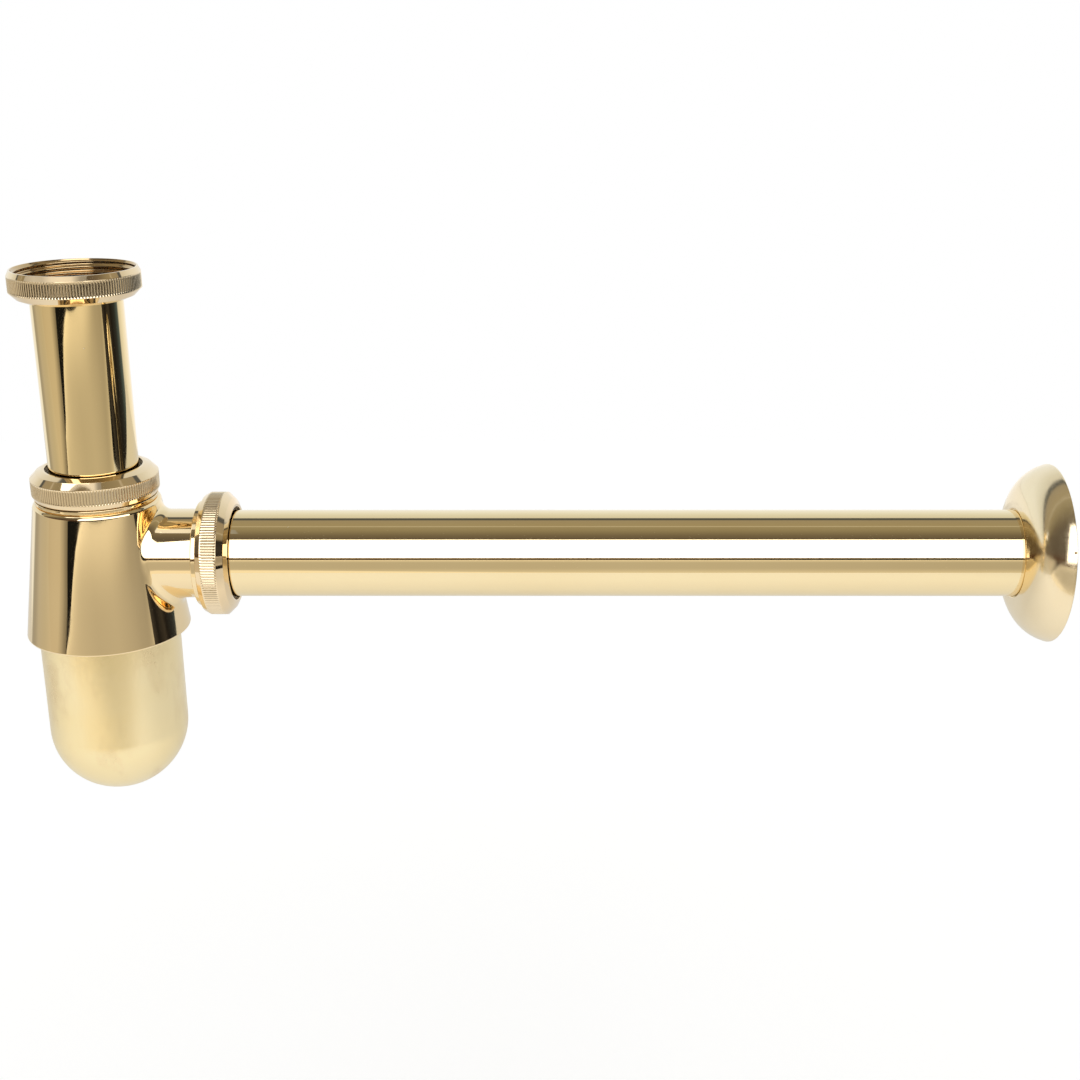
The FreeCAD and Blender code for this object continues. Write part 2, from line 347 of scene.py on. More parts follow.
def add_bump(shader, height, distance_mm, strength):
    """Raises the surface by a height pattern, in millimetres, for the shader's normal only."""
    sockets = {"Height": height, "Distance": distance_mm * MM, "Strength": strength}
    feed(shader, {"Normal": add_node(height.id_data, "Bump", sockets).outputs["Normal"]})


# %% Mirror-polished brass for tube, body and pipe
TUBE_GOLD = (0.93, 0.745, 0.42)
BODY_GOLD = (0.925, 0.745, 0.455)
PIPE_GOLD = (0.93, 0.77, 0.47)
WARMER = (0.97, 0.945, 0.9)
DRIFT_CELLS = 22
HAZE_CELLS = 75
HAZE_ROUGH = (0.025, 0.065)
HAIRLINE_CELLS = 900
HAIRLINE_ROUGH = 0.04
DUST = (0.95, 0.88, 0.72)
DUST_CELLS = 90
DUST_SIZE = 0.022
DUST_ROUGH = 0.3


def polished_brass(name, tint, stretch):
    """Mirror brass whose polishing hairlines run along the stretched direction."""
    finish, tree, shader = new_finish(name, metallic=1.0)
    plain = place_on_piece(tree)
    haze = remap(noise(plain, HAZE_CELLS, 4), 0.35, 0.75, *HAZE_ROUGH)
    hairlines = noise(place_on_piece(tree, stretch), HAIRLINE_CELLS, 3, 0.6)
    dust = specks(plain, DUST_CELLS, DUST_SIZE)
    warmer = tuple(c * w for c, w in zip(tint, WARMER))
    tone = blend_colour(clouds(plain, DRIFT_CELLS, 0.7), tint, warmer)
    scratched = plus(haze, remap(hairlines, 0.55, 0.8, 0.0, HAIRLINE_ROUGH))
    rough = plus(scratched, times(dust, DUST_ROUGH))
    paint(shader, blend_colour(dust, tone, DUST), rough)
    add_bump(shader, hairlines, 0.004, 0.05)
    return finish


tube_brass = polished_brass("tube_brass", TUBE_GOLD, (1, 1, 0.04))
body_brass = polished_brass("body_brass", BODY_GOLD, (1, 1, 0.3))
pipe_brass = polished_brass("pipe_brass", PIPE_GOLD, (0.04, 1, 1))
print("polished finishes:", tube_brass.name, body_brass.name, pipe_brass.name)

# %% [markdown]
# The two tubes are drawn brass, one millimetre thick, open at both ends. The upright one has a flared
# collar at its top, on which it hangs in the nut. A tube could be an extruded circle with a Solidify
# modifier, but one closed profile gives wall, bore, collar and rounded ends together.

# %% Upright tube and outlet pipe
TUBE_SPACING = 12.0
FLARE_THICKNESS = 1.2
FLARE_ROUND = 0.4
MOUTH_ROUND = 0.8
EDGE = 0.3

flare_r = (tube_high[0] - tube_low[0]) / 2
flare_z = tube_high[2] - FLARE_THICKNESS
tube_bore_r = TUBE_R - TUBE_WALL
tube_profile = outline([
    (tube_bore_r, tube_low[2], EDGE),
    (TUBE_R, tube_low[2], EDGE, TUBE_SPACING),
    (TUBE_R, flare_z, FLARE_ROUND),
    (flare_r, flare_z, EDGE),
    (flare_r, tube_high[2], EDGE),
    (tube_bore_r, tube_high[2], MOUTH_ROUND, TUBE_SPACING),
])
upright_tube = turned_piece("upright_tube", turned_about_z, tube_profile)
dress(upright_tube, tube_brass, "inlet_pipe", "inlet_pipe")

pipe_profile = outline([
    (tube_bore_r, pipe_low[0], EDGE),
    (TUBE_R, pipe_low[0], EDGE, TUBE_SPACING),
    (TUBE_R, pipe_high[0], EDGE),
    (tube_bore_r, pipe_high[0], EDGE, TUBE_SPACING),
])
wall_pipe = turned_piece("wall_pipe", turned_about_x, pipe_profile)
dress(wall_pipe, pipe_brass, "outlet_pipe", "outlet_pipe")

# %% [markdown]
# The three nuts are alike: an open end, a knurled band for the fingers, a steep chamfer and a lip round
# the tube. A straight knurl is a row of small ridges rolled into the band. A bump map would lose them
# at the outline, so they are real: on the band the profile's radius is cut back by rounded ridges with
# narrow grooves between them, which run out just before the chamfers. The screw thread inside the top
# nut is a wave whose phase moves on by one pitch in each turn.

# %% Threads and knurls as radius functions
THREAD_PITCH = 2.309
THREAD_DEPTH = 1.1
NUT_THREAD_DEPTH = 0.85
THREAD_FADE = 0.7
SAME = 0.01


def thread_wave(along, angle, pitch):
    """Wave from 0 to 1 that climbs one pitch a turn: half of 1 + cos(2 pi along / pitch - angle)."""
    return 0.5 + 0.5 * np.cos(2 * math.pi * along / pitch - angle)


def fade(along, low, high, width):
    """One between low and high, falling to zero over a width at both ends."""
    return np.clip((along - low) / width, 0, 1) * np.clip((high - along) / width, 0, 1)


def cut_thread(radius, along, angle, thread_r, span, depth=THREAD_DEPTH, pitch=THREAD_PITCH):
    """Radius cut back by the wave of a thread, inside a span and only on runs at the thread's radius."""
    cut = radius - depth * fade(along, *span, THREAD_FADE) * thread_wave(along, angle, pitch)
    return np.where(np.abs(radius - thread_r) < SAME, cut, radius)


KNURL_PITCH = 1.04
KNURL_DEPTH = 0.22
KNURL_FADE = 0.35
KNURL_INSET = 0.1
RIDGE_STEPS = np.array([0.0, 0.08, 0.29, 0.5, 0.71, 0.92])
TEETH = round(2 * math.pi * NUT_R / KNURL_PITCH)
NUT_ANGLES = ((np.arange(TEETH)[:, None] + RIDGE_STEPS) * (2 * math.pi / TEETH)).ravel()


def groove(angle):
    """Depth of the knurl from 0 on the ridges to 1 in the grooves: 1 - |sin| of half the tooth angle."""
    return 1 - np.abs(np.sin(0.5 * TEETH * angle))


print("teeth round a nut:", TEETH, "columns:", len(NUT_ANGLES))

# %% Brass of the nuts
NUT_BRASS = (0.91, 0.73, 0.47)
NUT_WARM = (0.88, 0.68, 0.42)
NUT_RIDGE = (0.92, 0.76, 0.52)
# Painted shade: this colour darkens the grooves of the knurl, as if shade lay in them.
NUT_GROOVE_SHADE = (0.46, 0.34, 0.20)
# Painted shade: this colour darkens the inside of the threaded bore.
NUT_BORE_SHADE = (0.60, 0.43, 0.23)
NUT_DRIFT_CELLS = 60
GRIT_CELLS = 900
GRIT_ROUGH = (0.035, 0.08)
BAND_ROUGH = 0.08
BORE_ROUGH = 0.06
RIDGE_MARK = 0.2


def nut_finish():
    """Slightly redder brass: bright chamfers, paler and duller ridges, painted shade in the grooves, and a
    duller bore darkened with painted shade.
    """
    finish, tree, shader = new_finish("nut_brass", metallic=1.0)
    plain = place_on_piece(tree)
    grit = noise(plain, GRIT_CELLS, 3)
    band, bore = attribute(tree, "knurl"), attribute(tree, "bore")
    rolled = remap(band, 0.0, RIDGE_MARK)
    # Painted shade: the deep part of the knurl value darkens the grooves.
    groove_shade = remap(band, 0.4, 1.0, 0.0, 0.8)
    tone = blend_colour(clouds(plain, NUT_DRIFT_CELLS), NUT_BRASS, NUT_WARM)
    tone = blend_colour(rolled, tone, NUT_RIDGE)
    tone = blend_colour(groove_shade, tone, NUT_GROOVE_SHADE)
    # Painted shade darkens the bore; its added roughness is the bore's own duller finish.
    tone = blend_colour(bore, tone, NUT_BORE_SHADE)
    dull = plus(times(rolled, BAND_ROUGH), times(bore, BORE_ROUGH))
    paint(shader, tone, plus(remap(grit, 0.3, 0.8, *GRIT_ROUGH), dull))
    add_bump(shader, grit, 0.004, 0.06)
    return finish


nut_brass = nut_finish()

# %% The three knurled nuts
OPEN_CHAMFER = 1.8
OPEN_DROP = 0.95
OPEN_EDGE = 0.18
KNURL_LENGTH = 5.8
KNURL_TOP = OPEN_CHAMFER + KNURL_LENGTH
BAND_EDGE = 0.15
BAND_SPACING = 0.4
STEEP_CHAMFER = 2.2
STEEP_SPACING = 0.5
LIP = 0.95
HOLE_PLAY = 1.3
HOLE_R = TUBE_R + HOLE_PLAY
NUT_WALL = 1.75
NUT_BORE_R = NUT_R - NUT_WALL
FLOOR_THICKNESS = 2.0
NUT_FLOOR = NUT_LENGTH - FLOOR_THICKNESS
LEAD_IN = 0.5
WASHER_STEP = 0.4
WASHER_DEPTH = 3.1
WASHER_EDGE = 0.05
BORE_SPACING = 0.22
SMALL_EDGE = 0.2
FINE_EDGE = 0.1


def nut_profile(washer_depth):
    """Loop of a nut's section from its open end: outside, lip, hole, floor, washer chamber and bore."""
    corners = [
        (NUT_R - OPEN_DROP, 0, OPEN_EDGE),
        (NUT_R, OPEN_CHAMFER, BAND_EDGE, BAND_SPACING),
        (NUT_R, KNURL_TOP, BAND_EDGE, STEEP_SPACING),
        (NUT_R - STEEP_CHAMFER, KNURL_TOP + STEEP_CHAMFER, EDGE),
        (HOLE_R + LIP, NUT_LENGTH, EDGE),
        (HOLE_R, NUT_LENGTH, SMALL_EDGE),
        (HOLE_R, NUT_FLOOR, FINE_EDGE),
    ]
    if washer_depth:
        chamber_r, chamber_end = NUT_BORE_R - WASHER_STEP, NUT_FLOOR - washer_depth
        corners += [(chamber_r, NUT_FLOOR, FINE_EDGE), (chamber_r, chamber_end, WASHER_EDGE)]
        corners += [(NUT_BORE_R, chamber_end, WASHER_EDGE, BORE_SPACING)]
    else:
        corners += [(NUT_BORE_R, NUT_FLOOR, FINE_EDGE)]
    corners += [(NUT_BORE_R, LEAD_IN, FINE_EDGE), (NUT_BORE_R + LEAD_IN / 2, 0, FINE_EDGE)]
    return outline(corners)


def nut_piece(name, node, turned, open_end, inward, washer_depth=0.0):
    """A nut on its axis, from its open end inwards; the radius is cut by the grooves and by the thread."""
    profile = nut_profile(washer_depth)
    radius, along = profile[:, :1], profile[:, 1:]
    on_band = (np.abs(radius - NUT_R) < SAME) & (along > OPEN_CHAMFER)
    knurl = on_band * fade(along, OPEN_CHAMFER + KNURL_INSET, KNURL_TOP - KNURL_INSET, KNURL_FADE)
    sunk = knurl * groove(NUT_ANGLES)
    in_bore = (radius < NUT_BORE_R + LEAD_IN / 2) & (along < NUT_FLOOR)
    if washer_depth:
        span = (LEAD_IN, NUT_FLOOR - washer_depth)
        radius = cut_thread(radius, along, NUT_ANGLES, NUT_BORE_R, span, NUT_THREAD_DEPTH)
    points = turned(radius - KNURL_DEPTH * sunk, open_end + inward * along, NUT_ANGLES)
    made = mesh_object(name, points, closed_grid(len(profile), len(NUT_ANGLES)))
    # The knurl value also carries the groove depth, which the finish turns into painted shade.
    point_values(made, "knurl", RIDGE_MARK * knurl + (1 - RIDGE_MARK) * sunk)
    # The bore mask sets the painted shade inside the nut and its duller roughness.
    point_values(made, "bore", np.broadcast_to(in_bore, sunk.shape))
    dress(made, nut_brass, node, node)


inlet_nut_top = box_mm("inlet_nut")[1][2]
outlet_nut_open = box_mm("outlet_nut")[0][0]
nut_piece("top_nut", "inlet_nut", turned_about_z, inlet_nut_top, -1, WASHER_DEPTH)
nut_piece("neck_nut", "body_nut", turned_about_z, nut_low[2], 1)
nut_piece("outlet_union_nut", "outlet_nut", turned_about_x, outlet_nut_open, 1)

# %% [markdown]
# The body is one casting: a cone with a short stub on its side and two threaded necks. A boolean would
# leave a hard line where the stub meets the cone, and a remesh would blur the mirror. So the casting is
# two grids that share their border points. The first is the whole section turned about the upright
# axis, with round windows left open where the stub leaves the cone and where its bore enters the
# chamber. The second runs from the outer window over fillet, stub, collar and neck, and back through
# the socket and bore to the inner window.

# %% Section of the casting
SHOULDER_Z = -78.6
CONE_TOP_R = 22.75
SHOULDER_ROUND = 1.6
CONE_SPACING = 1.0
BASE_WALL = 4.1
BASE_ROUND = 0.6
NECK_R = 20.905
COLLAR_R = 22.0
COLLAR_HEIGHT = 1.1
GROOVE_R = 21.3
GROOVE_HEIGHT = 0.4
GROOVE_ROUND = 0.02
SOCKET_R = TUBE_R + 0.3
SEAT_DEPTH = 2.6
SEAT_FLARE = 2.3
CUP_BORE_R = CUP_R + 0.08
LEDGE_Z = -115.3
LEDGE_R = 23.4
ROOF_Z = SHOULDER_Z - 3.0
ROOF_R = CONE_TOP_R - 3.2
ROOF_ROUND = 1.0
BORE_LEAD = 0.3
WALL_SPACING = 2.0
THREAD_SPACING = 0.3

neck_top = body_high[2]
collar_low = SHOULDER_Z + GROOVE_HEIGHT
collar_top = collar_low + COLLAR_HEIGHT
base_z = body_low[2]
cone_base_r = CUP_BORE_R + BASE_WALL

outside = outline([
    (NECK_R, neck_top, 0, THREAD_SPACING),
    (NECK_R, collar_top),
    (COLLAR_R, collar_top, SMALL_EDGE),
    (COLLAR_R, collar_low, SMALL_EDGE),
    (GROOVE_R, collar_low, FINE_EDGE),
    (GROOVE_R, SHOULDER_Z, GROOVE_ROUND),
    (CONE_TOP_R, SHOULDER_Z, SHOULDER_ROUND, CONE_SPACING),
    (cone_base_r, base_z, BASE_ROUND),
    (CUP_BORE_R + BORE_LEAD, base_z),
], closed=False)
inside = outline([
    (CUP_BORE_R, base_z + BORE_LEAD, 0, WALL_SPACING),
    (CUP_BORE_R, LEDGE_Z, FINE_EDGE),
    (LEDGE_R, LEDGE_Z, EDGE, CONE_SPACING),
    (ROOF_R, ROOF_Z, ROOF_ROUND),
    (SOCKET_R, ROOF_Z, SMALL_EDGE, WALL_SPACING),
    (SOCKET_R, neck_top - SEAT_DEPTH, SMALL_EDGE),
    (SOCKET_R + SEAT_FLARE, neck_top),
], closed=False)
print("section points outside and inside:", len(outside), len(inside))

# %% Windows in the section
STUB_R = 16.5
STUB_BORE_R = 14.3
STUB_FILLET = 3.5
WINDOW_ROWS = 73
WINDOW_PLAY = 0.02
FILLET_REACH = 1.17
BORE_STEP = 0.3
ROUND_SHARE = 0.7
OUTER_WINDOW_R = STUB_R + FILLET_REACH * STUB_FILLET
INNER_WINDOW_R = STUB_BORE_R + BORE_STEP


def with_window(section, window_r, span):
    """Section with even rows of a round window put in, and each row's half angle of opening.

    The window is a circle of the given radius round the outlet axis: its rows lie at heights
    axis + R cos t, and there the half width R sin t opens the angle arcsin(half width / radius).
    """
    first, last = span
    t = np.linspace(0, math.pi, WINDOW_ROWS)
    height = AXIS_Z + window_r * np.cos(t)
    order = np.argsort(section[first:last, 1])
    wall = section[first:last][order]
    rows = np.column_stack([np.interp(height, wall[:, 1], wall[:, 0]), height])
    half_open = np.arcsin(window_r * np.sin(t) / rows[:, 0])
    half_open[[0, -1]] = 0
    if section[first, 1] < section[last - 1, 1]:
        rows, half_open = rows[::-1], half_open[::-1]
    place = np.arange(len(section))
    in_span = (place >= first) & (place < last)
    covered = in_span & (np.abs(section[:, 1] - AXIS_Z) < window_r + WINDOW_PLAY)
    start = int(np.argmax(covered))
    kept_before, kept_after = section[:start], section[start:][~covered[start:]]
    full = np.concatenate([kept_before, rows, kept_after])
    opening = np.concatenate([np.zeros(len(kept_before)), half_open, np.zeros(len(kept_after))])
    return full, opening, slice(start, start + WINDOW_ROWS)


shoulder_row = int(np.argmax(outside[:, 0] > CONE_TOP_R - ROUND_SHARE * SHOULDER_ROUND))
outside, outer_opening, outer_rows = with_window(outside, OUTER_WINDOW_R, (shoulder_row, len(outside)))
in_chamber = (inside[:, 1] > LEDGE_Z + SAME) & (inside[:, 1] < ROOF_Z) & (inside[:, 0] < LEDGE_R)
chamber = np.flatnonzero(in_chamber)
inside, inner_opening, inner_rows = with_window(inside, INNER_WINDOW_R, (chamber[0], chamber[-1] + 1))
section = np.concatenate([outside, inside])
opening = np.concatenate([outer_opening, inner_opening])
inner_rows = slice(inner_rows.start + len(outside), inner_rows.stop + len(outside))

# %% First grid of the casting, turned about the upright axis
NECK_THREAD_FOOT = 0.4
NECK_THREAD_TOP = 0.1

share = np.linspace(0, 1, COLUMNS + 1)
body_angle = opening[:, None] + (2 * math.pi - 2 * opening[:, None]) * share
neck_span = (collar_top + NECK_THREAD_FOOT, neck_top - NECK_THREAD_TOP)
body_radius = cut_thread(section[:, :1], section[:, 1:], body_angle, NECK_R, neck_span)
body_points = turned_about_z(body_radius, section[:, 1:], body_angle)

body_index = np.arange(body_angle.size).reshape(body_angle.shape)
shut = opening < TINY
body_index[shut, -1] = body_index[shut, 0]
body_faces = grid_faces(np.concatenate([body_index, body_index[:1]]))


def window_border(rows):
    """Border points of a window in one round: from its top down one side and up the other."""
    lines = np.arange(rows.start, rows.stop)
    lines = lines[np.argsort(-section[lines, 1])]
    return np.concatenate([body_index[lines, 0], body_index[lines, -1][-2:0:-1]])


outer_border, inner_border = window_border(outer_rows), window_border(inner_rows)
print("casting section rows:", len(section), "window border points:", len(outer_border))

# %% Second grid of the casting, turned about the outlet axis
STUB_END = 37.0
STUB_WALL_END = STUB_END - 1.0
STUB_ROUND = 0.5
OUTLET_COLLAR_R = NECK_R - 1.5
OUTLET_COLLAR_END = STUB_END + 2.0
OUTLET_COLLAR_ROUND = 0.25
OUTLET_THREAD_FOOT = 0.3
OUTLET_THREAD_END = 0.2
SOCKET_X = STUB_END + 0.5
BORE_START = SOCKET_X - 2.0
FILLET_STEPS = 12
PATCH_STEPS = 6
STUB_STEPS = 7
BORE_STEPS = 5
outlet_end = body_high[0]


def border_angle(border):
    """Angle of border points round the outlet axis."""
    points = body_points.reshape(-1, 3)[border]
    return np.arctan2(points[:, 2] - AXIS_Z, points[:, 1])


CONE_SLOPE = (cone_base_r - CONE_TOP_R) / (SHOULDER_Z - base_z)
CONE_LEAN = math.hypot(1, CONE_SLOPE)


def cone_radius(height):
    """Radius of the cone at a height over the outlet axis."""
    return CONE_TOP_R + CONE_SLOPE * (SHOULDER_Z - AXIS_Z - height)


def near_cone(from_axis, angle, off_cone):
    """Points at a distance from the outlet axis and a distance off the cone: x from r^2 = x^2 + y^2."""
    y, z = from_axis * np.cos(angle), from_axis * np.sin(angle)
    r = cone_radius(z) + off_cone * CONE_LEAN
    return np.stack([np.sqrt(r ** 2 - y ** 2), y, AXIS_Z + z], axis=-1)


def fillet_rings(angle):
    """Rings over the cone to the fillet and down it, as a ball of one radius rolls along the joint.

    The ball turns by the angle T between the two normals. After a turn b it is R (1 - cos b) off the
    cone and R (1 - cos(T - b)) off the stub.
    """
    across = STUB_R * np.cos(angle) / cone_radius(STUB_R * np.sin(angle))
    turn = np.arccos((np.cos(angle) * across + CONE_SLOPE * np.sin(angle)) / CONE_LEAN)
    b = np.linspace(0, 1, FILLET_STEPS)[:, None] * turn
    from_axis = STUB_R + STUB_FILLET * (1 - np.cos(turn - b))
    share = np.linspace(0, 1, PATCH_STEPS)[1:-1, None]
    patch = near_cone(OUTER_WINDOW_R + (from_axis[0] - OUTER_WINDOW_R) * share, angle, 0.0)
    return np.concatenate([patch, near_cone(from_axis, angle, STUB_FILLET * (1 - np.cos(b)))])


outer_angle, inner_angle = border_angle(outer_border), border_angle(inner_border)
fillet = fillet_rings(outer_angle)
wall_share = np.linspace(0, 1, STUB_STEPS)[1:-1, None]
wall_x = fillet[-1, :, 0] + (STUB_WALL_END - fillet[-1, :, 0]) * wall_share
stub_wall = turned_about_x(STUB_R, wall_x, outer_angle)
neck_profile = outline([
    (STUB_R, STUB_WALL_END),
    (STUB_R, STUB_END, STUB_ROUND),
    (OUTLET_COLLAR_R, STUB_END, OUTLET_COLLAR_ROUND),
    (OUTLET_COLLAR_R, OUTLET_COLLAR_END, FINE_EDGE),
    (NECK_R, OUTLET_COLLAR_END, 0, THREAD_SPACING),
    (NECK_R, outlet_end, SMALL_EDGE),
    (SOCKET_R + SEAT_FLARE, outlet_end, SMALL_EDGE),
    (SOCKET_R, outlet_end - SEAT_DEPTH, SMALL_EDGE),
    (SOCKET_R, SOCKET_X, FINE_EDGE),
    (STUB_BORE_R, SOCKET_X, SMALL_EDGE),
    (STUB_BORE_R, BORE_START),
], closed=False)
outlet_span = (OUTLET_COLLAR_END + OUTLET_THREAD_FOOT, outlet_end - OUTLET_THREAD_END)
neck_radius = cut_thread(neck_profile[:, :1], neck_profile[:, 1:], outer_angle, NECK_R, outlet_span)
outlet_neck = turned_about_x(neck_radius, neck_profile[:, 1:], outer_angle)
bore_end = body_points.reshape(-1, 3)[inner_border][:, 0] + BORE_STEP
bore_share = np.linspace(0, 1, BORE_STEPS)[1:, None]
bore_x = neck_profile[-1, 1] + (bore_end - neck_profile[-1, 1]) * bore_share
stub_bore = turned_about_x(STUB_BORE_R, bore_x, inner_angle)
stub_points = np.concatenate([fillet, stub_wall, outlet_neck, stub_bore])

stub_index = np.arange(stub_points.shape[0] * stub_points.shape[1]).reshape(stub_points.shape[:2])
stub_index = np.concatenate([outer_border[None], stub_index + body_index.size, inner_border[None]])
stub_faces = grid_faces(np.pad(stub_index, ((0, 0), (0, 1)), mode="wrap"))
casting_points = np.concatenate([body_points.reshape(-1, 3), stub_points.reshape(-1, 3)])
casting = mesh_object("casting", casting_points, np.concatenate([body_faces, stub_faces]))
dress(casting, body_brass, "trap_body", "trap_body")

# %% [markdown]
# The cup unscrews for cleaning. It is polished less than the rest, so its gold is satin: a wide, soft
# highlight instead of a mirror image, with faint scuffs from the lathe and from hands. Its section runs
# from the pole on the outside, up the wall, over the rim and down to the pole inside.

# %% Satin brass for the cup
CUP_BRASS = (0.94, 0.77, 0.43)
CUP_PALE = (0.95, 0.80, 0.49)
CUP_DRIFT_CELLS = 30
CUP_STAIN = (0.82, 0.64, 0.36)
STAIN_CELLS = 70
STAIN_ROUGH = 0.05
GRAIN_CELLS = 1400
SATIN_ROUGH = (0.21, 0.26)


def satin_brass():
    """Satin brass: broad roughness with a fine grain, slow clouds of tone and a few brownish stains."""
    finish, tree, shader = new_finish("cup_brass", metallic=1.0)
    plain = place_on_piece(tree)
    upright = place_on_piece(tree, (1, 1, 0.5))
    stains = remap(noise(upright, STAIN_CELLS, 5, 0.62), 0.5, 0.68, 0.0, 0.8)
    grain = noise(plain, GRAIN_CELLS)
    tone = blend_colour(clouds(plain, CUP_DRIFT_CELLS), CUP_BRASS, CUP_PALE)
    satin = remap(grain, 0.3, 0.7, *SATIN_ROUGH)
    rough = plus(satin, times(stains, STAIN_ROUGH))
    paint(shader, blend_colour(stains, tone, CUP_STAIN), rough)
    add_bump(shader, grain, 0.004, 0.04)
    return finish


cup_brass = satin_brass()

# %% The cup
CUP_WALL = 1.6
CUP_SPACING = 8.0
CUP_RIM_ROUND = 0.4
CUP_THREAD_PITCH = 2.0
CUP_THREAD_DEPTH = 0.7
CUP_THREAD_SPACING = 0.25
CUP_THREAD_FOOT = 1.0
CUP_THREAD_TOP = 0.6

cup_inner_r = CUP_R - CUP_WALL
cup_profile = outline([
    (0, cup_low[2]),
    (CUP_R, cup_low[2], CUP_R, CUP_SPACING),
    (CUP_R, base_z, 0, CUP_THREAD_SPACING),
    (CUP_R, cup_high[2], CUP_RIM_ROUND),
    (cup_inner_r, cup_high[2], CUP_RIM_ROUND, CUP_SPACING),
    (cup_inner_r, cup_low[2] + CUP_WALL, cup_inner_r),
    (0, cup_low[2] + CUP_WALL),
], closed=False)
cup_radius, cup_along, cup_angle = cup_profile[:, :1], cup_profile[:, 1:], angles(COLUMNS)
cup_span = (base_z + CUP_THREAD_FOOT, cup_high[2] - CUP_THREAD_TOP)
cup_thread = (CUP_THREAD_DEPTH, CUP_THREAD_PITCH)
cup_radius = cut_thread(cup_radius, cup_along, cup_angle, CUP_R, cup_span, *cup_thread)
cup_points = turned_about_z(cup_radius, cup_along, cup_angle)
cup_faces = closed_grid(len(cup_profile), COLUMNS, loop=False, poles=(0, -1))
cleaning_cup = mesh_object("cleaning_cup", cup_points, cup_faces)
dress(cleaning_cup, cup_brass, "cup", "cup")

# %% [markdown]
# The wall flange is spun from sheet: a dome round the pipe that ends in a narrow lip on the wall.
# Spinning leaves very fine rings, which follow the distance from the axis, and handling leaves small
# nicks near the rim.

# %% Softly polished brass for the flange
FLANGE_BRASS = (0.93, 0.79, 0.54)
FLANGE_WARM = (0.90, 0.74, 0.48)
FLANGE_DRIFT_CELLS = 40
RING_CELLS = 2200
RING_ROUGH = (0.1, 0.15)
WEAR_CELLS = 450
WEAR_ROUGH = 0.08
NICK = (0.25, 0.17, 0.09)
NICK_CELLS = 160
NICK_SIZE = 0.09
NICK_ROUGH = 0.4
NICK_ZONE = (7, 1)


def flange_finish():
    """Soft polish with fine rings round the pipe, a grain of wear and a few dark nicks near the rim."""
    finish, tree, shader = new_finish("flange_brass", metallic=1.0)
    plain = place_on_piece(tree, centre_mm=(0, 0, AXIS_Z))
    place = three_parts(plain)
    y2, z2 = times(place["Y"], place["Y"]), times(place["Z"], place["Z"])
    from_axis = combine("POWER", plus(y2, z2), 0.5)
    ring_place = add_node(tree, "CombineXYZ", {"X": from_axis, "Y": place["X"]})
    rings = noise(ring_place.outputs["Vector"], RING_CELLS, 2, 0.6)
    near_rim = remap(place["X"], *[(flange_high[0] - off_rim) * MM for off_rim in NICK_ZONE])
    nicks = times(specks(plain, NICK_CELLS, NICK_SIZE), near_rim)
    tone = blend_colour(clouds(plain, FLANGE_DRIFT_CELLS), FLANGE_BRASS, FLANGE_WARM)
    wear = remap(noise(plain, WEAR_CELLS, 5, 0.7), 0.4, 0.7, 0.0, WEAR_ROUGH)
    soft = plus(remap(rings, 0.3, 0.7, *RING_ROUGH), wear)
    rough = plus(soft, times(nicks, NICK_ROUGH))
    paint(shader, blend_colour(nicks, tone, NICK), rough)
    add_bump(shader, rings, 0.006, 0.08)
    return finish


flange_brass = flange_finish()

# %% The wall flange
FLANGE_SHEET = 1.0
HOLE_ROUND = 0.42
DOME = np.array([29.1, 1.35])
DOME_ROUND = 16.0
LIP_HEIGHT = 0.8
LIP_ROUND = 0.5

flange_depth = flange_high[0] - flange_low[0]
flange_rim_r = (flange_high[2] - flange_low[2]) / 2
flange_hole = np.array([SOCKET_R, 0.0])
flange_lip = np.array([flange_rim_r, flange_depth - LIP_HEIGHT])


def inset_corner(before, corner, after, depth):
    """The corner of a line that runs at a depth inside two straight runs: along their bisector."""
    back = (before - corner) / np.linalg.norm(before - corner)
    ahead = (after - corner) / np.linalg.norm(after - corner)
    half = 0.5 * math.acos(float(back @ ahead))
    bisector = (back + ahead) / np.linalg.norm(back + ahead)
    return corner + bisector * (depth / math.sin(half))


inner_dome = inset_corner(flange_hole, DOME, flange_lip, FLANGE_SHEET)
flange_profile = outline([
    (*flange_hole, HOLE_ROUND),
    (*DOME, DOME_ROUND),
    (*flange_lip, LIP_ROUND),
    (flange_rim_r, flange_depth, EDGE),
    (flange_rim_r - FLANGE_SHEET, flange_depth, EDGE),
    (*inner_dome, DOME_ROUND - FLANGE_SHEET),
    (flange_hole[0], flange_hole[1] + FLANGE_SHEET, HOLE_ROUND),
])
wall_cover = turned_piece("wall_cover", turned_about_x, flange_profile, flange_low[0])
dress(wall_cover, flange_brass, "wall_flange", "wall_flange")

# %% [markdown]
# The seals and slip rings sit inside the nuts, and only a thin dark line of them shows round the tubes.
# Their measured shape is right as it is, so they only get a finish: black rubber with a fine grain, and
# a dark smooth plastic for the slip rings.

# %% Rubber seals and slip rings
RUBBER = (0.012, 0.012, 0.013)
RUBBER_PALE = (0.022, 0.021, 0.021)
PLASTIC = (0.03, 0.03, 0.032)
PLASTIC_PALE = (0.045, 0.044, 0.043)
DARK_DRIFT_CELLS = 120


def dark_finish(name, dark, pale, rough, grain_cells):
    """Dark moulded finish: two close tones and a fine grain in roughness and bump."""
    finish, tree, shader = new_finish(name)
    plain = place_on_piece(tree)
    fine = noise(plain, grain_cells, 4, 0.6)
    tone = blend_colour(clouds(plain, DARK_DRIFT_CELLS), dark, pale)
    paint(shader, tone, remap(fine, 0.3, 0.7, *rough))
    add_bump(shader, fine, 0.03, 0.3)
    return finish


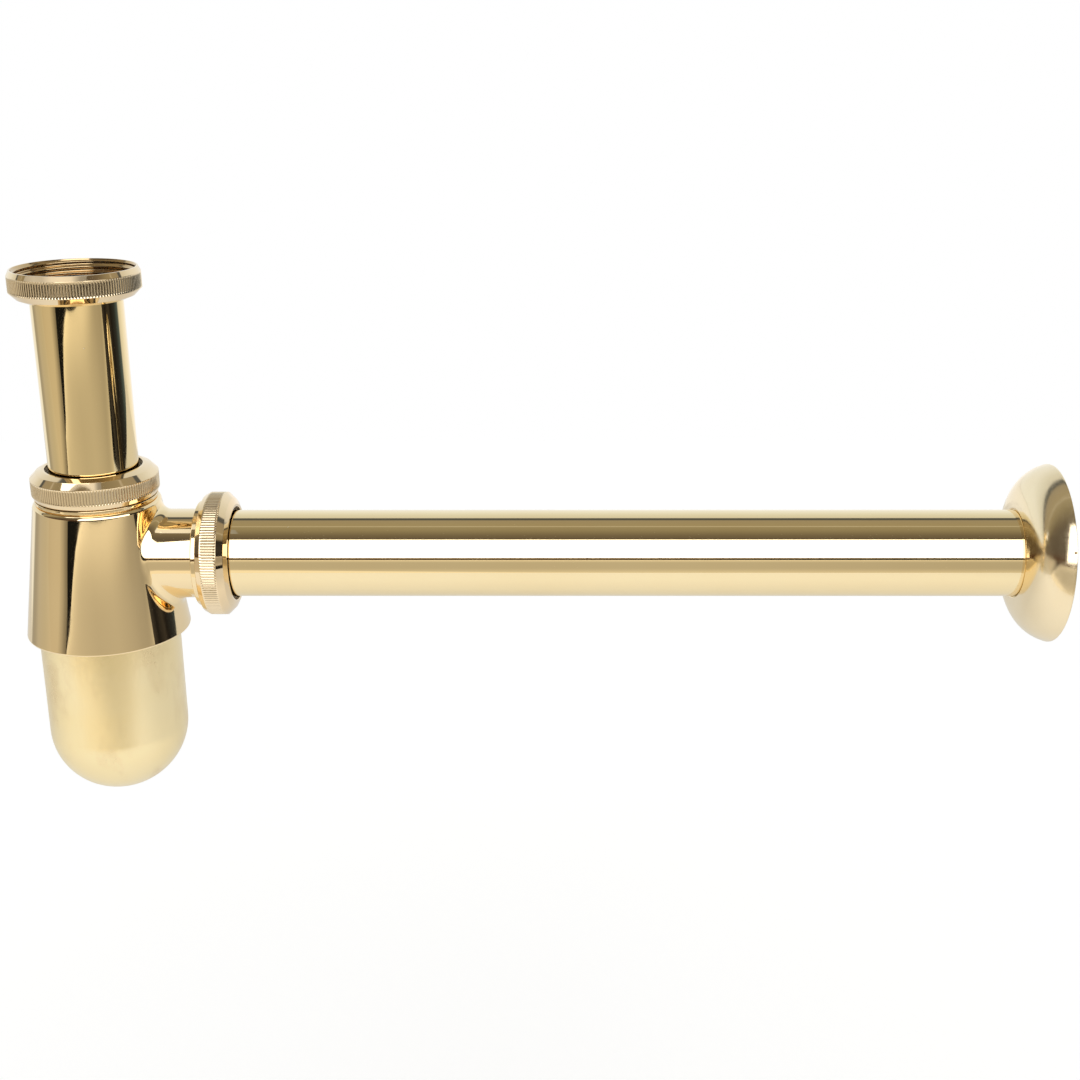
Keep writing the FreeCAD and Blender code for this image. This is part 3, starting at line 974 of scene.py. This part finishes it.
seal_rubber = dark_finish("seal_rubber", RUBBER, RUBBER_PALE, (0.5, 0.7), 2500)
slip_plastic = dark_finish("slip_plastic", PLASTIC, PLASTIC_PALE, (0.3, 0.45), 3500)
inner_parts = dict.fromkeys(["inlet_washer", "body_seal", "outlet_seal", "cup_gasket"], seal_rubber)
inner_parts |= dict.fromkeys(["body_slip_ring", "outlet_slip_ring"], slip_plastic)
for node, finish in inner_parts.items():
    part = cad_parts[node]
    part.data.materials.clear()
    part.data.materials.append(finish)
print("dark inner parts:", len(inner_parts))

# %% [markdown]
# A mirror shows its surroundings, so the studio matters as much as the metal. A photographer puts such
# a part above white paper, hangs a large soft light and a pale panel in front of it, and leaves the
# sides dark where an edge should turn black. The paper comes first. It is matt and lit by the lamp, so
# it keeps a soft shadow, and it glows a little for cameras and mirrors, so that it reads as white.

# %% Floor
WHITE = (1.0, 1.0, 1.0)
FLOOR_Z = -460.0
FLOOR_X = (-1000.0, 1400.0)
FLOOR_Y = (-1000.0, 1500.0)
FLOOR_GLOW = 0.275
MIRROR_GLOW = 0.28
GLOW_FADE_Y = (-0.25, 0.4)
GLOW_FADE_X = (0.45, 0.8)
PAPER = (0.87, 0.87, 0.86)
PAPER_GRAIN = (0.89, 0.89, 0.88)
PAPER_CELLS = 400
PAPER_ROUGH = 0.9


def floor_finish():
    """Matt white paper with a glow for cameras and one for mirrors that fades to the back and right."""
    finish, tree, shader = new_finish("white_paper")
    plain = place_on_piece(tree)
    paint(shader, blend_colour(noise(plain, PAPER_CELLS, 3), PAPER, PAPER_GRAIN), PAPER_ROUGH)
    place = three_parts(plain)
    rays = add_node(tree, "LightPath", {}).outputs
    straight = combine("MAXIMUM", rays["Is Camera Ray"], rays["Is Transmission Ray"])
    near_front = remap(place["Y"], *GLOW_FADE_Y, MIRROR_GLOW, 0.0)
    near_left = remap(place["X"], *GLOW_FADE_X, 1.0, 0.0)
    mirrored = times(rays["Is Glossy Ray"], times(near_front, near_left))
    glow = plus(times(straight, FLOOR_GLOW), mirrored)
    feed(shader, {"Specular IOR Level": 0.0, "Emission Color": WHITE, "Emission Strength": glow})
    return finish


def card(name, x, y, z):
    """A sheet in the studio: a grid of places across, depths and heights, spread to one shape."""
    x, y, z = np.broadcast_arrays(x, y, z)
    faces = grid_faces(np.arange(x.size).reshape(x.shape))
    made = mesh_object(name, np.stack([x, y, z], axis=-1), faces)
    return made


def down(values):
    """Values as a column, one for each row of a grid."""
    return np.array(values)[:, None]


floor = card("floor", down(FLOOR_X), FLOOR_Y, FLOOR_Z)
floor.data.materials.append(floor_finish())

# %% [markdown]
# The cards stand close to the part, so each piece mirrors them from its own place. Only mirrors see them,
# and a large soft light hangs farther off. The pale panel in front is brightest along its slanted left
# edge, its top edge and its foot. A dimmer card stands to its left beyond a dark gap, and two small ones
# over the top nut light its rim and the nut below. The brightness of each grid point is an attribute.

# %% Cards that only mirrors see
def mirror_card(name, x, y, z, level, tint=WHITE):
    """A card that shines at a level for each of its points, hidden from everything but mirror rays."""
    x, y, z, level = np.broadcast_arrays(x, y, z, level)
    made = card(name, x, y, z)
    point_values(made, "level", level)
    finish, tree, shader = new_finish(name)
    tree.nodes.remove(shader)
    emission = add_node(tree, "Emission", {"Color": tint, "Strength": attribute(tree, "level")})
    feed(tree.nodes["Material Output"], {"Surface": emission.outputs["Emission"]})
    finish.cycles.emission_sampling = "NONE"
    made.data.materials.append(finish)
    made.visible_camera = False
    made.visible_diffuse = False
    made.visible_shadow = False


SOFT_LIGHT_X = (-540.0, 4700.0)
SOFT_LIGHT_Y = -1500.0
SOFT_LIGHT_Z = (53.0, 1980.0)
SOFT_LIGHT = 2.6
HIGH_CARD_X = (-62, -41, -27, -14, -1, 10, 16, 20, 27)
HIGH_CARD_Y = (-52.0, -24.0)
HIGH_CARD_Z = 30.0
HIGH_CARD_LIGHT = (0.5, 0.66, 0.64, 0.95, 1.02, 0.95, 0.6, 0.4, 0.34)
LOW_CARD_X = (-59.0, 0.0)
LOW_CARD_Y = (-42.0, -24.0)
LOW_CARD_Z = 4.5
LOW_CARD_LIGHT = 2.6

mirror_card("soft_light", down(SOFT_LIGHT_X), SOFT_LIGHT_Y, SOFT_LIGHT_Z, SOFT_LIGHT)
mirror_card("high_card", down(HIGH_CARD_X), HIGH_CARD_Y, HIGH_CARD_Z, down(HIGH_CARD_LIGHT))
mirror_card("low_card", down(LOW_CARD_X), LOW_CARD_Y, LOW_CARD_Z, LOW_CARD_LIGHT)

# %% Pale panel in front
CARD_Y = -520.0


def slanted_grid(edge_z, edge_x, width, crowding, rows, columns):
    """Places, heights and steps off a slanted edge: width times t to the power that crowds the columns."""
    z = np.linspace(edge_z[-1], edge_z[0], rows)[:, None]
    off_edge = width * np.linspace(0, 1, columns) ** crowding
    return np.interp(z, edge_z, edge_x) + off_edge, z, off_edge


PANEL_TAN = (1.0, 0.92, 0.76)
PANEL_GRID = 75, 80
PANEL_WIDTH = 3300.0
PANEL_CROWDING = 2.5
PANEL_EDGE_Z = (-463, -270, -235, -202, -181, -152, -124, -105, -97, -93)
PANEL_EDGE_X = (-1000, -590, -530, -428, -385, -322, -244, -166, -119, -80)
PANEL_PLACE_X = (-300, 0, 250, 480, 840, 1500, 2300)
PANEL_LIGHT = (0.62, 0.55, 0.57, 0.52, 0.45, 0.41, 0.37)
EDGE_GLOW, EDGE_GLOW_WIDTH = 0.40, 55.0
TOP_GLOW, TOP_GLOW_HEIGHT = 0.34, 36.0
LOW_GLOW, LOW_GLOW_TOP, LOW_GLOW_HEIGHT, LOW_GLOW_BEND = 0.25, -290.0, 160.0, 1.5
FOOT_LINE_X = (-590, -186, -39, 150, 300)
FOOT_LINE_Z = (-300, -335, -358, -430, -470)
FOOT_FADE = 25.0
FOOT_WHITE = 1.05

panel_edge = (PANEL_EDGE_Z, PANEL_EDGE_X, PANEL_WIDTH, PANEL_CROWDING)
panel_x, panel_z, from_edge = slanted_grid(*panel_edge, *PANEL_GRID)
low_share = np.clip((LOW_GLOW_TOP - panel_z) / LOW_GLOW_HEIGHT, 0, 1)
panel_level = np.interp(panel_x, PANEL_PLACE_X, PANEL_LIGHT)
panel_level += EDGE_GLOW * np.exp(-from_edge / EDGE_GLOW_WIDTH)
panel_level += TOP_GLOW * np.exp(-((panel_z[0] - panel_z) / TOP_GLOW_HEIGHT) ** 2)
panel_level += LOW_GLOW * low_share ** LOW_GLOW_BEND
under_foot = (np.interp(panel_x, FOOT_LINE_X, FOOT_LINE_Z) - panel_z) / FOOT_FADE
panel_level += (FOOT_WHITE - panel_level) * np.clip(under_foot, 0, 1)
mirror_card("front_panel", panel_x, CARD_Y, panel_z, panel_level, PANEL_TAN)

# %% Dimmer card at the left
SIDE_TAN = (1.0, 0.9, 0.72)
SIDE_GRID = 60, 50
SIDE_WIDTH = -1500.0
SIDE_CROWDING = 2
SIDE_EDGE_Z = (-463, -270, -235, -193, -150, -123, -70)
SIDE_EDGE_X = (-1010, -602, -545, -475, -436, -403, -340)
SIDE_FROM_EDGE = (0, 60, 120, 250, 450, 900, 1600)
SIDE_LIGHT = (0.22, 0.32, 0.46, 0.64, 0.64, 0.62, 0.58)

side_edge = (SIDE_EDGE_Z, SIDE_EDGE_X, SIDE_WIDTH, SIDE_CROWDING)
side_x, side_z, from_edge = slanted_grid(*side_edge, *SIDE_GRID)
side_level = np.interp(-from_edge, SIDE_FROM_EDGE, SIDE_LIGHT)
mirror_card("side_card", side_x, CARD_Y, side_z, side_level, SIDE_TAN)

# %% [markdown]
# What is left of the room is far away, so it is painted into the world by direction. Above the horizon
# the colour follows the angle from the front over the top to the back, and below it the angle round the
# part. Cameras see plain white, and matt surfaces get plain even light.

# %% Room seen in the reflections
ROOM_LIGHT = 1.05
PLAIN_LIGHT = 0.6
RIGHT_RISE = 0.3
HORIZON_BLUR = 0.02
FRONT_SPAN = (0.0, 180.0)
SIDE_SPAN = (-180.0, 180.0)

FRONT_ZONES = [
    # brown gap under the soft light, then the dark front of the ceiling
    (0, (0.09, 0.05, 0.03)), (8, (0.09, 0.05, 0.03)), (20, (0.12, 0.1, 0.08)), (55, (0.13, 0.11, 0.085)),
    # olive ceiling, with a thin pale strip
    (66, (0.19, 0.16, 0.115)), (80, (0.3, 0.265, 0.18)), (91.5, (0.36, 0.32, 0.22)),
    (92.2, (0.52, 0.48, 0.4)), (94.2, (0.52, 0.48, 0.4)),
    (95, (0.38, 0.335, 0.23)), (115, (0.36, 0.32, 0.245)),
    # dark edge, then the white behind the part
    (117, (0.1, 0.11, 0.12)), (124, (0.11, 0.12, 0.13)), (126, (0.74, 0.75, 0.72)),
    (137, (0.78, 0.81, 0.8)), (156, (0.9, 0.95, 1.0)), (180, (0.95, 1.0, 1.03)),
]
SIDE_ZONES = [
    # white behind the part at its left, then a tan wall
    (-180, (1, 1, 1)), (-124, (0.95, 0.98, 1)), (-119, (0.4, 0.39, 0.36)), (-111, (0.42, 0.4, 0.36)),
    (-101, (0.55, 0.52, 0.46)), (-85, (0.58, 0.54, 0.45)),
    (-72, (0.66, 0.6, 0.49)), (-67, (0.7, 0.63, 0.5)),
    # black gaps round the cards, with faint brown gleams at the right
    (-66, (0.01, 0.01, 0.01)), (76, (0.01, 0.01, 0.01)), (79, (0.05, 0.045, 0.04)),
    (86, (0.015, 0.013, 0.012)), (97, (0.045, 0.04, 0.035)), (103, (0.015, 0.013, 0.012)),
    # a bluish dusk that turns to white behind the part at its right
    (117, (0.03, 0.035, 0.04)), (124, (0.06, 0.09, 0.11)), (130, (0.1, 0.14, 0.18)),
    (134, (0.75, 0.76, 0.75)), (150, (0.95, 0.96, 0.96)), (172, (1.05, 1.05, 1.05)),
]


def zone_ramp(angle, span, zones):
    """Colours by an angle in degrees, straight between the given stops."""
    ramp = add_node(angle.id_data, "ValToRGB", {"Fac": remap(angle, *span)})
    stops = ramp.color_ramp.elements
    while len(stops) < len(zones):
        stops.new(0.5)
    for stop, (degrees, colour) in zip(stops, zones):
        stop.position = (degrees - span[0]) / (span[1] - span[0])
        stop.color = (*[c / ROOM_LIGHT for c in colour], 1.0)
    return ramp.outputs["Color"]


def degrees_between(rise, run):
    """Angle of a direction in degrees, from two of its parts."""
    return times(combine("ARCTAN2", rise, run), 180 / math.pi)


world = bpy.data.worlds.new("studio")
bpy.context.scene.world = world
world.use_nodes = True
sky = world.node_tree
direction = three_parts(add_node(sky, "TexCoord", {}).outputs["Generated"])
toward_front = times(direction["Y"], -1.0)
front = zone_ramp(degrees_between(direction["Z"], toward_front), FRONT_SPAN, FRONT_ZONES)
side = zone_ramp(degrees_between(direction["X"], toward_front), SIDE_SPAN, SIDE_ZONES)
to_right = combine("MAXIMUM", direction["X"], 0.0)
over_horizon = combine("SUBTRACT", direction["Z"], times(to_right, RIGHT_RISE))
low_band = remap(over_horizon, HORIZON_BLUR, -HORIZON_BLUR)
room_colour = blend_colour(low_band, front, side)

# %% World for mirrors, for matt surfaces and for the camera
def even_light(strength):
    """A background of one white level."""
    return add_node(sky, "Background", {"Color": WHITE, "Strength": strength}).outputs["Background"]


def choose(share, first, second):
    """Second shader where the share is one, first where it is zero."""
    return add_node(sky, "MixShader", {"Fac": share, 1: first, 2: second}).outputs["Shader"]


room = sky.nodes["Background"]
feed(room, {"Color": room_colour, "Strength": ROOM_LIGHT})
rays = add_node(sky, "LightPath", {}).outputs
mirrored = choose(rays["Is Glossy Ray"], even_light(PLAIN_LIGHT), room.outputs["Background"])
straight_on = combine("MAXIMUM", rays["Is Camera Ray"], rays["Is Transmission Ray"])
seen_world = choose(straight_on, mirrored, even_light(1.0))
feed(sky.nodes["World Output"], {"Surface": seen_world})

# %% [markdown]
# One far lamp from the front and above gives the paper its soft shadow. A sun lamp lights the paper
# evenly, and a wide angle makes its shadow as soft as that of a large lamp close by. Mirrors don't see
# it, because the cards already show them the lights.

# %% Soft lamp
LAMP_LEVEL = 0.85
LAMP_ANGLE = 50.0
LAMP_TILT = 28.0

lamp_data = bpy.data.lights.new("soft_lamp", "SUN")
lamp_data.energy = LAMP_LEVEL
lamp_data.angle = math.radians(LAMP_ANGLE)
lamp = bpy.data.objects.new("soft_lamp", lamp_data)
lamp.rotation_euler = (math.radians(LAMP_TILT), 0, 0)
lamp.visible_glossy = False
lamp.visible_camera = False
bpy.context.scene.collection.objects.link(lamp)

# %% [markdown]
# The camera stands where the photographer stood, about half a metre in front of the pipe and a little
# above, looking down by some nineteen degrees. Its place and lens were found by fitting the sizes of
# the parts to where they appear in the picture.

# %% Camera
CAMERA_PLACE = (167.3, -522.5, 83.6)
CAMERA_PITCH = 18.87
CAMERA_YAW = -0.52
CAMERA_ROLL = 0.18
CAMERA_LENS = 49.78
SENSOR_WIDTH = 36.0
NEAREST_SEEN = 0.01

camera_data = bpy.data.cameras.new("camera")
camera_data.lens = CAMERA_LENS
camera_data.sensor_width = SENSOR_WIDTH
camera_data.clip_start = NEAREST_SEEN
camera = bpy.data.objects.new("camera", camera_data)
turn = Matrix.Rotation(math.radians(-CAMERA_YAW), 4, "Z")
tilt = Matrix.Rotation(math.radians(90 - CAMERA_PITCH), 4, "X")
roll = Matrix.Rotation(math.radians(-CAMERA_ROLL), 4, "Z")
camera.matrix_world = Matrix.Translation([c * MM for c in CAMERA_PLACE]) @ turn @ tilt @ roll
bpy.context.scene.collection.objects.link(camera)
bpy.context.scene.camera = camera
bpy.context.scene.view_settings.view_transform = "Standard"
